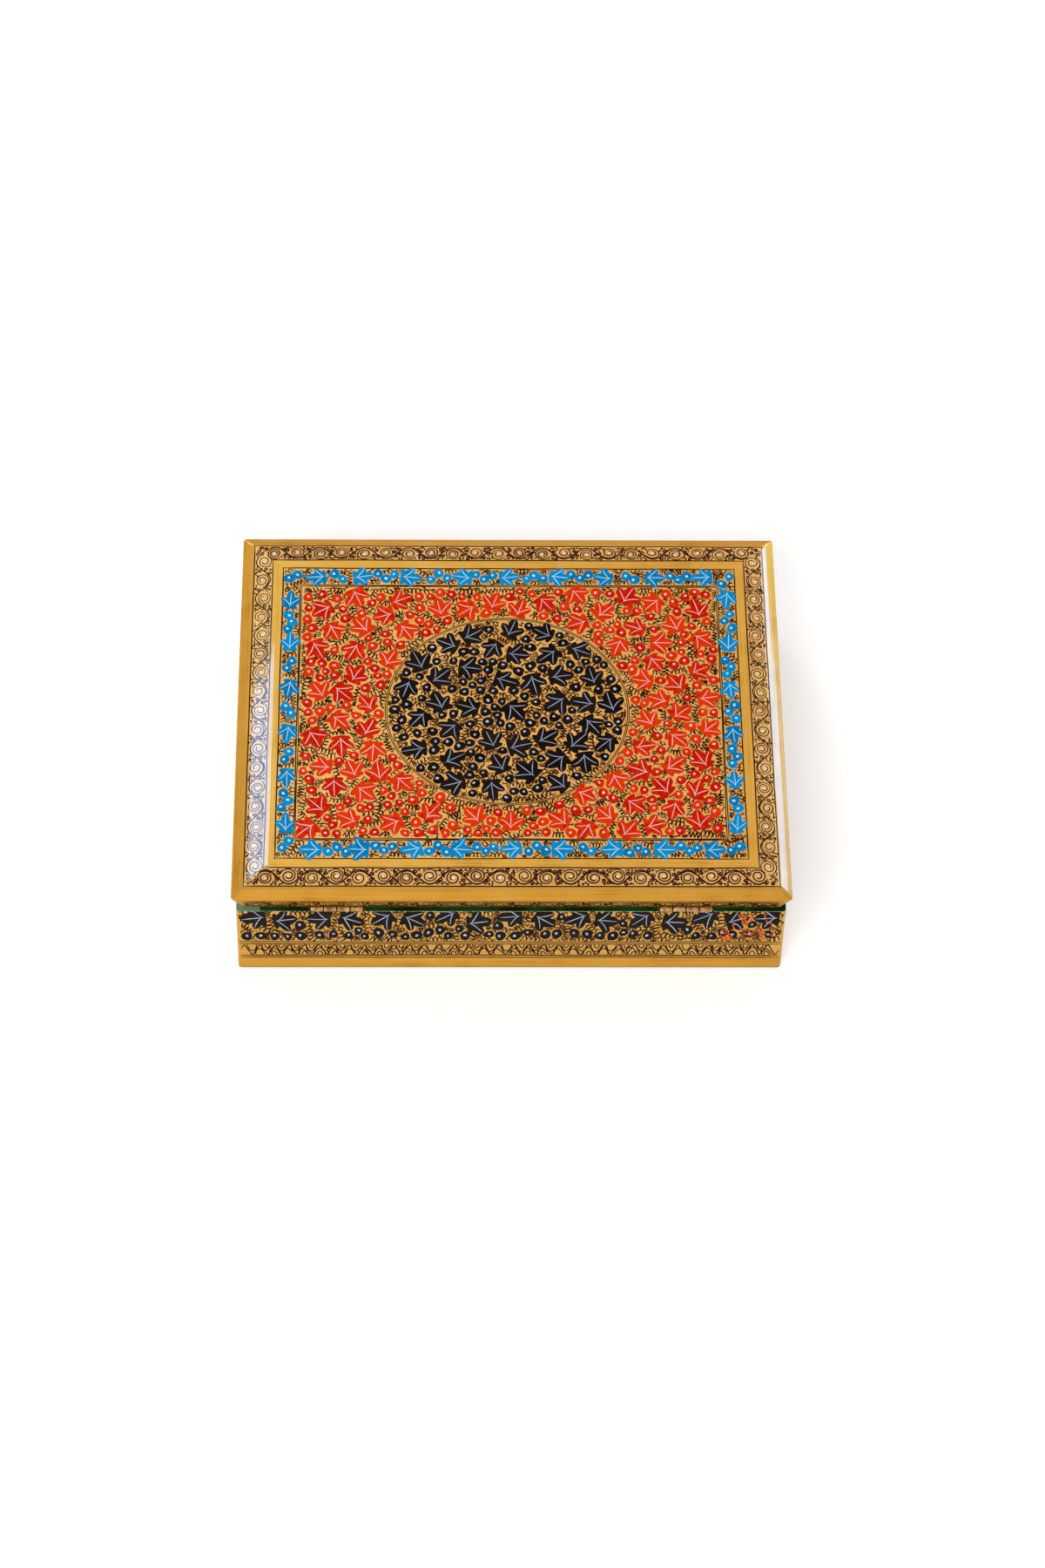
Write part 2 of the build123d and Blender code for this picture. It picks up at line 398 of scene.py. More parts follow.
def lid_levels():
    """The lid's cross-section: distance in from its widest edge, and height."""
    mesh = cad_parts["lid_top_board"].data
    points = np.array([v.co for v in mesh.vertices]) / MM
    inward = np.min(LID_HALF - abs(points[:, :2]), axis=1)
    steps = {}
    for distance, level in zip(inward, points[:, 2].round(3)):
        if level > WIDEST_LEVEL:
            steps[level] = min(distance, steps.get(level, distance))
    distances, levels = zip(*sorted((distance, level) for level, distance in steps.items()))
    return np.array(distances), np.array(levels)


LID_DISTANCES, LID_LEVELS = lid_levels()


def lid_top(points, heights):
    inward = np.min(LID_HALF - abs(points), axis=1)
    level = np.interp(inward, LID_DISTANCES, LID_LEVELS)
    return np.column_stack([points, level + heights])


def lid_band(side, inset):
    """A strip along one side of the lid's top; across it, points run outwards from the inset line."""
    out = outward(side)
    right = np.array([out[1], -out[0]])
    edge = reach_of(side, LID_HALF)

    def surface(points, heights):
        flat = points[:, :1] * right + (edge - inset + points[:, 1:]) * out
        return lid_top(flat, heights)

    return surface


def leaning_wall(side, low, high):
    """An outer side of the box. low and high are its (level, half sizes); points are (along, level)."""
    out = np.append(outward(side), 0.0)
    right = np.cross([0.0, 0.0, 1.0], out)
    low_reach, high_reach = reach_of(side, low[1]), reach_of(side, high[1])

    def surface(points, heights):
        share = (points[:, 1] - low[0]) / (high[0] - low[0])
        reach = low_reach + share * (high_reach - low_reach) + heights
        level = np.outer(points[:, 1], [0.0, 0.0, 1.0])
        return np.outer(points[:, 0], right) + np.outer(reach, out) + level

    return surface


def base_wall(side):
    """A wall of the base; points are (along, depth below the rim over WALL_STRETCH, negative)."""
    wall = leaning_wall(side, (0.0, FOOT_HALF), (RIM_LEVEL, RIM_HALF))

    def surface(points, heights):
        depth = np.maximum(-points[:, 1] * WALL_STRETCH, RIM_MARGIN)
        return wall(np.column_stack([points[:, 0], RIM_LEVEL - depth]), heights)

    return surface


def lid_wall(side):
    return leaning_wall(side, (UNDERSIDE, LID_HALF - UNDERCUT), (WIDEST_LEVEL, LID_HALF))


# Paint: thin shapes and brush lines on the surfaces


def placed(name, data):
    """A new object in the scene."""
    made = bpy.data.objects.new(name, data)
    bpy.context.scene.collection.objects.link(made)
    return made


class Paint:
    """One coat of paint, many shapes in one mesh."""

    def __init__(self, name, colour, body):
        self.name, self.colour, self.body = name, colour, body
        self.points, self.faces, self.tones, self.count = [], [], [], 0

    def add(self, points, faces, tone):
        self.points.append(points)
        self.faces.append(faces + self.count)
        self.tones.append(np.full(len(points), tone))
        self.count += len(points)

    def blob(self, surface, outline, tone, rise=PETAL_RISE, heart=None):
        """A filled closed shape: outline points in order round it, all seen from its heart."""
        n = len(outline)
        heart = outline.mean(axis=0) if heart is None else heart
        rise += OVERLAP * tone
        flat = np.vstack([outline, outline, [heart, heart]])
        heights = np.concatenate([np.full(n, BURIED), np.full(n, rise), [rise, BURIED]])
        a = np.arange(n)
        b = (a + 1) % n
        top, under = np.full(n, 2 * n), np.full(n, 2 * n + 1)
        faces = [
            np.column_stack([a, b, b + n]),
            np.column_stack([a, b + n, a + n]),
            np.column_stack([a + n, b + n, top]),
            np.column_stack([b, a, under]),
        ]
        self.add(surface(flat, heights), np.vstack(faces), tone)

    def line(self, surface, path, width, tone, rise=LINE_RISE, taper=0.5):
        """A brush line along a path, thinner at its ends: a ribbon just above the ground."""
        n = len(path)
        heading = np.gradient(path, axis=0)
        heading /= np.maximum(np.linalg.norm(heading, axis=1, keepdims=True), 1e-9)
        side = np.column_stack([-heading[:, 1], heading[:, 0]])
        share = np.linspace(0, 1, n)
        ends = np.minimum(1, taper + (1 - taper) * np.minimum(share, 1 - share) * n / 3)
        half = (width / 2 * ends)[:, None]
        flat = np.vstack([path - side * half, path + side * half])
        a = np.arange(n - 1)
        faces = [np.column_stack([a, a + 1, a + 1 + n]), np.column_stack([a, a + 1 + n, a + n])]
        heights = np.tile(rise + OVERLAP * (share + 0.5 * tone), 2)
        self.add(surface(flat, heights), np.vstack(faces), tone)

    def finish(self):
        """Makes the mesh and lets it ride on its body."""
        mesh = bpy.data.meshes.new(self.name)
        points = np.vstack(self.points) * MM
        mesh.from_pydata(points.tolist(), [], np.vstack(self.faces).tolist())
        tones = mesh.attributes.new("tone", "FLOAT", "POINT")
        tones.data.foreach_set("value", np.concatenate(self.tones).astype(np.float32))
        mesh.materials.append(paint_material(self.colour))
        made = placed(self.name, mesh)
        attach(made, self.body)


coats = {}


def coat(name, colour, body):
    """The coat of that name, made when it is first asked for."""
    if name not in coats:
        coats[name] = Paint(name, colour, body)
    return coats[name]


def any_turn(rng):
    """A random heading in radians."""
    return rng.uniform(0, 6.28)


def turned(points, heading, centre=(0, 0)):
    """The points turned about (0, 0) and then moved to a centre."""
    c, s = math.cos(heading), math.sin(heading)
    return points @ np.array([[c, s], [-s, c]]) + np.asarray(centre)


def kept(points, limits):
    """The points, moved to within limits where there are any."""
    return points if limits is None else np.clip(points, *limits)


# Room: how far each point of a region is from what is painted already


class Room:
    def __init__(self, low, high, inside):
        self.inside = inside
        self.low = np.asarray(low, float)
        self.x = np.arange(low[0], high[0], ROOM_STEP)
        self.y = np.arange(low[1], high[1], ROOM_STEP)
        grid = np.stack(np.meshgrid(self.x, self.y, indexing="ij"), axis=-1)
        self.free = inside(grid.reshape(-1, 2)).reshape(grid.shape[:2])

    def cell(self, point):
        i, j = np.round((np.asarray(point) - self.low) / ROOM_STEP).astype(int)
        return min(max(i, 0), len(self.x) - 1), min(max(j, 0), len(self.y) - 1)

    def at(self, point):
        return self.free[self.cell(point)]

    def take(self, centre, radius, reach=7.0):
        """Takes a disc; only points in a square round it are counted again."""
        i0, j0 = self.cell((centre[0] - reach, centre[1] - reach))
        i1, j1 = self.cell((centre[0] + reach, centre[1] + reach))
        x = self.x[i0:i1 + 1, None] - centre[0]
        y = self.y[None, j0:j1 + 1] - centre[1]
        window = self.free[i0:i1 + 1, j0:j1 + 1]
        np.minimum(window, np.hypot(x, y) - radius, out=window)

    def spots(self, clearance):
        return np.argwhere(self.free >= clearance)

    def pick(self, rng, clearance):
        """A random point with that much room round it, or None."""
        spots = self.spots(clearance)
        if len(spots) == 0:
            return None
        i, j = spots[rng.randrange(len(spots))]
        shift = np.array([rng.uniform(-0.5, 0.5), rng.uniform(-0.5, 0.5)]) * ROOM_STEP
        return np.array([self.x[i], self.y[j]]) + shift


def in_rectangle(half):
    return lambda points: np.min(np.asarray(half) - abs(points), axis=1)


def in_medallion(points, grow):
    """Distance in from the medallion's outline, negative outside it."""
    flat = points - MEDALLION_CENTRE
    length = np.linalg.norm(flat, axis=1)
    share = np.maximum(np.linalg.norm(flat / (MEDALLION + grow), axis=1), 1e-6)
    return (1 - share) * length / share


# Leaves and berries

LOBE_CORNERS = ((-0.47, 0.73), (-0.3, 0.87), (0.0, 1.0), (0.3, 0.87), (0.47, 0.73))
STALK_CORNERS = ((180.0, 1.2), (152.0, 1.4), (-152.0, 1.4))
NOTCHES = ((0, 1), (1, 2), (0, 3), (3, 4))
RIBBED = (0, 1, 3)           # the lobes with a vein: the tip and the two at its sides
CORNER_CUT = 0.2
LEAF_MIDDLE = np.array([2.1, 0.0])

# The discs that a leaf takes up, each as x, y and radius
LEAF_DISCS = (
    (1.6, 0, 2.8), (4.4, 0, 1.4), (-0.2, 2.0, 1.1), (-0.2, -2.0, 1.1),
    (2.4, 2.6, 1.5), (2.4, -2.6, 1.5), (-0.3, 0, 1.0),
)


def leaf_lobes(rng):
    """A chinar leaf's five lobes: heading in degrees, reach, and width in degrees."""
    lobes = [(0.0, 6.3 * rng.uniform(0.94, 1.05), 44)]
    for hand in (1, -1):
        lobes.append((hand * rng.uniform(45, 52), 5.2 * rng.uniform(0.9, 1.06), 40))
        lobes.append((hand * rng.uniform(95, 106), 3.2 * rng.uniform(0.85, 1.12), 40))
    return lobes


def leaf_outline(rng):
    """A leaf about the point where its veins meet, its tip along +X, and its three veins' ends."""
    lobes = leaf_lobes(rng)
    corners = list(STALK_CORNERS)
    for angle, reach, width in lobes:
        for turn, share in LOBE_CORNERS:
            jitter = rng.uniform(0.95, 1.05) if turn else 1.0
            corners.append((angle + turn * width + rng.uniform(-1.5, 1.5), reach * share * jitter))
    for inner, outer in NOTCHES:
        notch = (lobes[inner][0] + lobes[outer][0]) / 2
        corners.append((notch * 1.04, lobes[outer][1] * rng.uniform(0.71, 0.83)))
    angles, radii = np.array(sorted(corners)).T
    turns = np.radians(angles)
    points = np.column_stack([np.cos(turns), np.sin(turns)]) * radii[:, None]
    after = np.roll(points, -1, axis=0)
    cut, left = CORNER_CUT, 1 - CORNER_CUT
    outline = np.stack([left * points + cut * after, cut * points + left * after], axis=1)
    return outline.reshape(-1, 2), [(math.radians(lobes[i][0]), lobes[i][1]) for i in RIBBED]


def vein_path(rng, index, angle, reach):
    """A vein from the point where all meet; the first, in the middle, starts on the stalk."""
    length = reach * rng.uniform(0.8, 0.95)
    bend = 0.0 if index == 0 else (1 if angle > 0 else -1) * rng.uniform(0.2, 0.6)
    bend += rng.uniform(-0.15, 0.15)
    share = np.linspace(-0.08 if index == 0 else 0.0, 1, 10)
    path = np.column_stack([share * length, -bend * 4 * share * (1 - share) * 0.6])
    return turned(path, angle)


def paint_leaf(rng, paints, surface, centre, heading, size, room, stretch=(1.0, 1.0), limits=None):
    """One leaf with its middle on a point. stretch is along and across the surface's own axes."""
    fill, veins = paints
    outline, ribs = leaf_outline(rng)
    stretch = np.array(stretch)
    spread = rng.uniform(0.93, 1.07)

    def put(points):
        sized = (points - LEAF_MIDDLE) * size * np.array([1.0, spread])
        return kept(turned(sized, heading) * stretch + centre, limits)

    fill.blob(surface, put(outline), rng.random(), heart=put(np.zeros((1, 2)))[0])
    for index, (angle, reach) in enumerate(ribs):
        path = put(vein_path(rng, index, angle, reach))
        veins.line(surface, path, VEIN_WIDTH * size, rng.random(), VEIN_RISE)
    for x, y, radius in LEAF_DISCS:
        spot = turned((np.array([[x, y]]) - LEAF_MIDDLE) * size, heading) * stretch + centre
        room.take(spot[0], radius * size * max(stretch))


def paint_berry(rng, paints, surface, centre, size, room, limits=None):
    """One round berry with a pale spot."""
    fill, shine = paints
    radius = BERRY_RADIUS * size
    angles = np.linspace(0, 2 * math.pi, 18, endpoint=False)
    bumps = sum(rng.uniform(0, 0.09) * np.sin(k * angles + any_turn(rng)) for k in (1, 2, 3))
    point = rng.uniform(0, 0.3) * np.maximum(np.cos(angles - any_turn(rng)), 0) ** 6
    reach = radius * (1 + bumps + point)
    round_shape = np.column_stack([np.cos(angles), np.sin(angles)])
    outline = round_shape * reach[:, None] + centre
    spot = round_shape[::2] * np.array([rng.uniform(0.38, 0.48), rng.uniform(0.44, 0.62)]) * size
    spot = turned(spot, rng.uniform(0, 3.14))
    spot = spot + centre + np.array([rng.uniform(-0.35, 0.15), rng.uniform(-0.1, 0.4)]) * size
    fill.blob(surface, kept(outline, limits), rng.random())
    shine.blob(surface, kept(spot, limits), rng.random(), VEIN_RISE)
    room.take(centre, radius)


def spread_leaves(rng, room, count, clearance=3.1):
    """Leaf centres, each the one of many random points that is farthest from those before it."""
    centres = []
    spots = room.spots(clearance)
    places = np.column_stack([room.x[spots[:, 0]], room.y[spots[:, 1]]])
    border = room.free[spots[:, 0], spots[:, 1]]
    for _ in range(count):
        tried = [rng.randrange(len(places)) for _ in range(260)]
        points = places[tried]
        gaps = 2.0 * border[tried] + 4.0
        if centres:
            between = np.linalg.norm(points[:, None] - np.array(centres)[None], axis=2)
            gaps = np.minimum(between.min(axis=1), gaps)
        centres.append(points[int(np.argmax(gaps))])
    return centres


def fill_with_berries(rng, paints, room, surface, count, limits=None):
    for _ in range(count):
        size = rng.uniform(0.84, 1.1)
        centre = room.pick(rng, BERRY_RADIUS * size + 0.12)
        if centre is not None:
            paint_berry(rng, paints, surface, centre, size, room, limits)


# Small brush strokes


def chain(rng, loops, size=1.0):
    """A row of joined loops or peaks, the painter's filling stroke."""
    t = np.linspace(0, loops, 10 * loops + 1)
    pitch, swing = rng.uniform(1.3, 1.8), rng.uniform(1.0, 1.3)
    back = rng.uniform(0.0, 0.5)
    y = swing * np.cos(2 * math.pi * t) * (1 - rng.uniform(0, 0.4) * np.linspace(0, 1, len(t)))
    x = pitch * (t - loops / 2) - back * np.sin(2 * math.pi * t) + rng.uniform(-0.3, 0.3) * y
    return np.column_stack([x, y]) * size


def curl(rng, turns=1.4, radius=1.0):
    """A small spiral with a tail."""
    t = np.linspace(0, 1, 22)
    angle = any_turn(rng) + t * turns * 2 * math.pi * rng.choice((-1, 1))
    reach = radius * (1 - 0.78 * t)
    return np.column_stack([reach * np.cos(angle), reach * np.sin(angle)])


def hook(rng):
    """An S stroke."""
    t = np.linspace(-1, 1, 16)
    bend = rng.uniform(0.5, 0.8) * rng.choice((-1, 1))
    return np.column_stack([t * rng.uniform(1.0, 1.4), bend * np.sin(t * math.pi)])


def tick(rng):
    """A short, slightly bent stroke."""
    t = np.linspace(-0.5, 0.5, 6)
    return np.column_stack([t * rng.uniform(0.6, 1.0), rng.uniform(-0.5, 0.5) * (t * t - 0.25)])


# Each filling stroke: clearance it needs, how far it reaches, discs it takes, how many are tried
STROKES = (
    (lambda rng: chain(rng, 4), 1.15, 2.9, (-2.4, -0.8, 0.8, 2.4), 400),
    (lambda rng: curl(rng, 1.5, 1.35), 1.35, 0.0, (0.0,), 12),
    (lambda rng: chain(rng, 3), 1.0, 2.1, (-1.5, 0.0, 1.5), 700),
    (lambda rng: chain(rng, 2), 0.9, 1.4, (-0.8, 0.8), 900),
    (lambda rng: chain(rng, 3, 0.72), 0.72, 1.6, (-1.1, 0.0, 1.1), 1000),
    (curl, 0.9, 0.0, (0.0,), 25),
    (hook, 0.58, 1.0, (-0.7, 0.7), 900),
    (lambda rng: chain(rng, 2, 0.62), 0.55, 0.9, (-0.5, 0.5), 1200),
    (tick, 0.4, 0.4, (0.0,), 600),
)
MISSES_ALLOWED = 60
TIGHTEST = 0.75              # share of a stroke's clearance that its ends may do with
TAKEN = 0.72                 # share of its clearance that it takes up


def best_heading(rng, room, centre, reach):
    """The room on both sides of a point in the direction that has most, and that direction."""
    best = (-1.0, 0.0)
    start = rng.uniform(0, math.pi)
    for index in range(6):
        heading = start + index * math.pi / 6
        step = np.array([math.cos(heading), math.sin(heading)]) * reach
        best = max(best, (min(room.at(centre + step), room.at(centre - step)), heading))
    return best


def fill_with_strokes(rng, room, surface, line, width, size, share, limits=None):
    """Fills what is left of a region with small strokes, long ones first."""
    for make, clearance, reach, discs, tries in STROKES:
        missed = 0
        for _ in range(int(tries * share)):
            centre = room.pick(rng, clearance * size)
            if centre is None or missed > MISSES_ALLOWED:
                break
            ease, heading = best_heading(rng, room, centre, reach * size)
            if ease < TIGHTEST * clearance * size:
                missed += 1
                continue
            missed = 0
            path = kept(turned(make(rng) * size, heading, centre), limits)
            line.line(surface, path, width * rng.uniform(0.8, 1.15), rng.random())
            for along in discs:
                spot = turned(np.array([[along * size, 0.0]]), heading, centre)[0]
                room.take(spot, clearance * size * TAKEN)


def wavering(rng, start, end, amount=0.07):
    """A hand-drawn straight line between two points."""
    start, end = np.asarray(start, float), np.asarray(end, float)
    length = np.linalg.norm(end - start)
    n = max(int(length / 1.6), 3)
    share = np.linspace(0, 1, n)[:, None]
    heading = (end - start) / length
    side = np.array([-heading[1], heading[0]])
    drift = sum(
        rng.uniform(0.2, 1) * np.sin(share * rng.uniform(6, 14) * k + any_turn(rng))
        for k in (0.5, 1, 2.3)
    )
    return start + share * (end - start) + drift * amount * side


def paint_frame(rng, line, half, width=RULE_WIDTH):
    """Four ruled lines round the lid's top, which cross a little at the corners."""
    x, y = half
    over = 0.3
    for start, end in (
        ((-x - over, y), (x + over, y)),
        ((-x - over, -y), (x + over, -y)),
        ((-x, -y - over), (-x, y + over)),
        ((x, -y - over), (x, y + over)),
    ):
        line.line(lid_top, wavering(rng, start, end), width * rng.uniform(0.9, 1.2), rng.random())


# The lid's field, medallion and border

FIELD_LEAVES, FIELD_BERRIES = 74, 190
MEDALLION_LEAVES, MEDALLION_BERRIES = 39, 130
BORDER_LEAVES = (9, 6, 9, 6)
INNER_RULE = 0.5             # from the field's edge out to the border's inner line
RINGS = (0.0, -0.55)         # how far the medallion's two rings lie outside its outline


def paint_field(rng):
    """Red leaves and berries round the medallion."""
    line = coat("paint_field_strokes", "line", "lid")
    red = coat("paint_red_leaves", "red", "lid"), coat("paint_red_veins", "pink", "lid")
    inside = in_rectangle(FIELD_HALF - 0.3)
    room = Room(-FIELD_HALF, FIELD_HALF, lambda p: np.minimum(inside(p), -in_medallion(p, 0.3)))
    for centre in spread_leaves(rng, room, FIELD_LEAVES):
        paint_leaf(rng, red, lid_top, centre, any_turn(rng), rng.uniform(1.04, 1.15), room)
    fill_with_berries(rng, red, room, lid_top, FIELD_BERRIES)
    fill_with_strokes(rng, room, lid_top, line, 0.44, 0.8, 1.7)


def paint_medallion(rng):
    """Black leaves and berries inside a double ring."""
    line = coat("paint_medallion_strokes", "line", "lid")
    black = coat("paint_black_leaves", "black", "lid")
    veins = coat("paint_black_veins", "grey", "lid")
    spots = coat("paint_black_spots", "mist", "lid")
    box = MEDALLION + 1
    room = Room(MEDALLION_CENTRE - box, MEDALLION_CENTRE + box, lambda p: in_medallion(p, -0.9))
    for centre in spread_leaves(rng, room, MEDALLION_LEAVES):
        size = rng.uniform(1.08, 1.2)
        paint_leaf(rng, (black, veins), lid_top, centre, any_turn(rng), size, room)
    fill_with_berries(rng, (black, spots), room, lid_top, MEDALLION_BERRIES)
    fill_with_strokes(rng, room, lid_top, line, 0.46, 0.8, 1.7)
    turn = np.linspace(0, 2 * math.pi, 220)
    for grow in RINGS:
        ring = np.column_stack([np.cos(turn), np.sin(turn)]) * (MEDALLION + grow) + MEDALLION_CENTRE
        line.line(lid_top, ring, 0.3, 0.3, taper=1.0)


def border_room():
    outer, inner = in_rectangle(BORDER_HALF - 0.25), in_rectangle(FIELD_HALF + 0.75)
    return Room(-BORDER_HALF, BORDER_HALF, lambda p: np.minimum(outer(p), -inner(p)))


def paint_border_side(rng, paints, room, side, count):
    """Leaves that lie along one side of the border, with two or three berries after each."""
    out = outward(side)
    right = np.array([-out[1], out[0]])
    middle = (BORDER_HALF + FIELD_HALF + INNER_RULE) / 2
    reach = reach_of(side, middle)
    run = length_of(side, middle) / count
    width = reach_of(side, BORDER_HALF - FIELD_HALF) - INNER_RULE
    stretch = (1.0, 1.0) if side % 2 == 0 else (1.0, 1.25)
    for index in range(count):
        along = (index + 0.5 - count / 2) * run + rng.uniform(-0.8, 0.8)
        centre = right * along + out * (reach + rng.uniform(-0.2, 0.2))
        heading = math.atan2(right[1], right[0]) + rng.choice((0, math.pi)) + rng.uniform(-0.2, 0.2)
        size = width / 7.1 * rng.uniform(0.96, 1.04)
        paint_leaf(rng, paints, lid_top, centre, heading, size, room, stretch)
        berries = rng.choice((2, 3, 3))
        for number in range(berries):
            shift = (number - (berries - 1) / 2) * 2.8
            sway = rng.uniform(0.4, 1.4) * (-1) ** (number + index)
            spot = right * (along + run / 2 + shift) + out * (reach + sway)
            if room.at(spot) > 1.2:
                paint_berry(rng, paints, lid_top, spot, rng.uniform(0.92, 1.08), room)


def paint_border(rng):
    """Blue leaves and berries in the strip round the field."""
    line = coat("paint_border_strokes", "line", "lid")
    blue = coat("paint_blue_leaves", "blue", "lid"), coat("paint_blue_veins", "pale", "lid")
    room = border_room()
    for side, count in enumerate(BORDER_LEAVES):
        paint_border_side(rng, blue, room, side, count)
    fill_with_strokes(rng, room, lid_top, line, STROKE_WIDTH, 0.78, 1.4)
    paint_frame(rng, line, BORDER_HALF)
    paint_frame(rng, line, FIELD_HALF + INNER_RULE)
    paint_frame(rng, line, FIELD_HALF, 0.28)


# Scrolls on the lid's bevel and sides

SPIRAL_PITCH = 7.7
VINE_SWING = 0.42            # as a share of the strip's width, and the spirals' radius too
GAP_STROKES = ((0.62, curl, 3, 0.75), (0.5, hook, 6, 0.75), (0.36, tick, 7, 1.1))
SIDE_SCROLL_WIDTH = 5.6
SIDE_SCROLL_LEVEL = 3.7      # heights up from the lid's underside
SIDE_RULES = (0.75, 6.75)


def drop_shape(length, width):
    """A teardrop's outline, its point along +X."""
    turn = np.linspace(0, 2 * math.pi, 10, endpoint=False)
    across = np.sin(turn) * (1 - 0.6 * np.cos(turn)) * width / 2
    return np.column_stack([np.cos(turn) * length / 2, across])


def paint_spiral(rng, surface, line, middle, hand, width, bold):
    turns = rng.uniform(1.6, 2.2)
    t = np.linspace(0, 1, 44)
    angle = -hand * (0.4 + t * turns * 2 * math.pi) + (0 if hand > 0 else math.pi)
    wobble = 1 + 0.05 * np.sin(angle * 1.7 + any_turn(rng))
    reach = VINE_SWING * width * (1 - 0.7 * t) * wobble
    spiral = middle + np.column_stack([np.cos(angle) * 1.06, np.sin(angle)]) * reach[:, None]
    line.line(surface, spiral, bold * rng.uniform(0.75, 0.95), rng.random())


def paint_buds(rng, surface, line, room, joints):
    """A bud at each joint that the room's strip has space for."""
    for joint in joints:
        if room.inside(joint[None])[0] > 0.3:
            bud = drop_shape(rng.uniform(0.9, 1.3), rng.uniform(0.6, 0.8))
            line.blob(surface, turned(bud, any_turn(rng), joint), rng.random(), LINE_RISE)
            room.take(joint, 0.5)


def fill_gaps(rng, surface, line, room, count, bold):
    """Curls, hooks and ticks between the spirals."""
    for clearance, make, tries, size in GAP_STROKES:
        for _ in range(count * tries):
            spot = room.pick(rng, clearance)
            if spot is None:
                break
            stroke = make(rng) * size
            line.line(surface, turned(stroke, any_turn(rng), spot), bold * 0.9, rng.random())
            room.take(spot, clearance + 0.2)


def scroll_strip(rng, surface, line, dots, length, width, level, mitre, bold):
    """A vine of spirals along a strip centred on level; mitre 1 cuts its ends at 45 degrees."""
    half = length / 2
    count = max(int(round(length / SPIRAL_PITCH)), 2)
    pitch = length / count

    def inside(points):
        across = width / 2 - abs(points[:, 1] - level)
        ends = half - abs(points[:, 0]) + mitre * (points[:, 1] - level)
        return np.minimum(across, ends) - 0.1

    room = Room((-half - width, level - width / 2), (half + width, level + width / 2), inside)
    for index in range(count):
        hand = 1 if index % 2 == 0 else -1
        across = level - hand * 0.06 * width
        middle = np.array([-half + (index + 0.5) * pitch + rng.uniform(-0.25, 0.25), across])
        paint_spiral(rng, surface, line, middle, hand, width, bold)
        room.take(middle, 0.43 * width)
        joints = [middle + np.array([0.46 * pitch * end, -hand * 0.34 * width]) for end in (-1, 1)]
        paint_buds(rng, surface, line, room, joints)
        if dots is not None:
            dot = drop_shape(rng.uniform(0.9, 1.3), rng.uniform(0.7, 1.0))
            dot = turned(dot, any_turn(rng), middle)
            dots.blob(surface, dot, rng.random(), VEIN_RISE)
    t = np.linspace(-half, half, count * 12)
    wave = np.sin((t + half) / pitch * math.pi)
    vine = np.column_stack([t, level + VINE_SWING * width * wave])
    keep = vine[inside(vine) > 0]
    line.line(surface, keep, bold * 1.05, 0.4)
    for point in keep[::2]:
        room.take(point, 0.3)
    fill_gaps(rng, surface, line, room, count, bold)


def paint_scroll_bands(rng):
    """Scrolls on the lid's bevel, between ruled lines, bolder at the front and back."""
    line = coat("paint_scroll_lines", "band", "lid")
    dots = coat("paint_scroll_dots", "cream", "lid")
    width = SCROLL_INNER - SCROLL_OUTER - 0.5
    middle = (SCROLL_INNER + SCROLL_OUTER) / 2
    for side in range(4):
        length = length_of(side, LID_HALF) - 2 * middle
        bold = 0.52 if side % 2 == 0 else 0.4
        scroll_strip(rng, lid_band(side, middle), line, dots, length, width, 0.0, 1.0, bold)
    paint_frame(rng, line, LID_HALF - SCROLL_OUTER)
    paint_frame(rng, line, LID_HALF - SCROLL_INNER)


def paint_lid_sides(rng):
    """Scrolls under the lid's widest edge."""
    line = coat("paint_lid_side_lines", "line", "lid")
    level = UNDERSIDE + SIDE_SCROLL_LEVEL
    for side in range(4):
        length = length_of(side, LID_HALF) - 8
        surface = lid_wall(side)
        scroll_strip(rng, surface, line, None, length, SIDE_SCROLL_WIDTH, level, 0.0, 0.5)
        for height in SIDE_RULES:
            rule = UNDERSIDE + height
            path = wavering(rng, (-length / 2, rule), (length / 2, rule))
            line.line(surface, path, 0.45, rng.random())


# The base's walls

WALL_LEAF_PITCH = 10.0
WALL_LEAF_SIZE = 1.14
WALL_BERRY_PITCH = 3.9
WALL_STROKES = 150           # length of wall that has the usual number of strokes
WAVE_PITCH = 4.9
WAVE_WIDTH = 0.42
ORANGE_TOUCHES = 22
ORANGE_PLACES = (68, 86), (1.6, 11)


def wall_coat(side, what, colour):
    return coat("paint_" + SIDES[side] + "_" + what, colour, "base")


def paint_leaf_band(rng, side, surface, length):
    """Black leaves in a row under the rim, berries below them."""
    line = wall_coat(side, "strokes", "line")
    black = wall_coat(side, "leaves", "black")
    veins = wall_coat(side, "veins", "mist")
    spots = wall_coat(side, "spots", "mist")
    low, top = -LEAF_BAND / WALL_STRETCH, -0.15
    half = length / 2 - 0.6
    limits = (-half - 0.4, low), (half + 0.4, top)

    def inside(points):
        across = np.minimum(points[:, 1] - low - 0.1, top - points[:, 1] + 0.3)
        return np.minimum(across, half - abs(points[:, 0]))

    room = Room((-half, low), (half, top), inside)
    count = int(length / WALL_LEAF_PITCH)
    run = length / count
    for index in range(count):
        odd = index % 2
        along = (index + 0.5 - count / 2) * run + rng.uniform(-0.7, 0.7)
        depth = rng.uniform(3.4, 4.6) if odd else rng.uniform(1.8, 3.2)
        heading = (0.0 if odd else math.pi) + rng.uniform(-0.75, 0.3) * (1 if odd else -1)
        centre = np.array([along, -depth])
        paint_leaf(rng, (black, veins), surface, centre, heading, WALL_LEAF_SIZE, room, limits=limits)
    fill_with_berries(rng, (black, spots), room, surface, int(length / WALL_BERRY_PITCH), limits)
    fill_with_strokes(rng, room, surface, line, 0.46, 0.84, length / WALL_STROKES, limits)


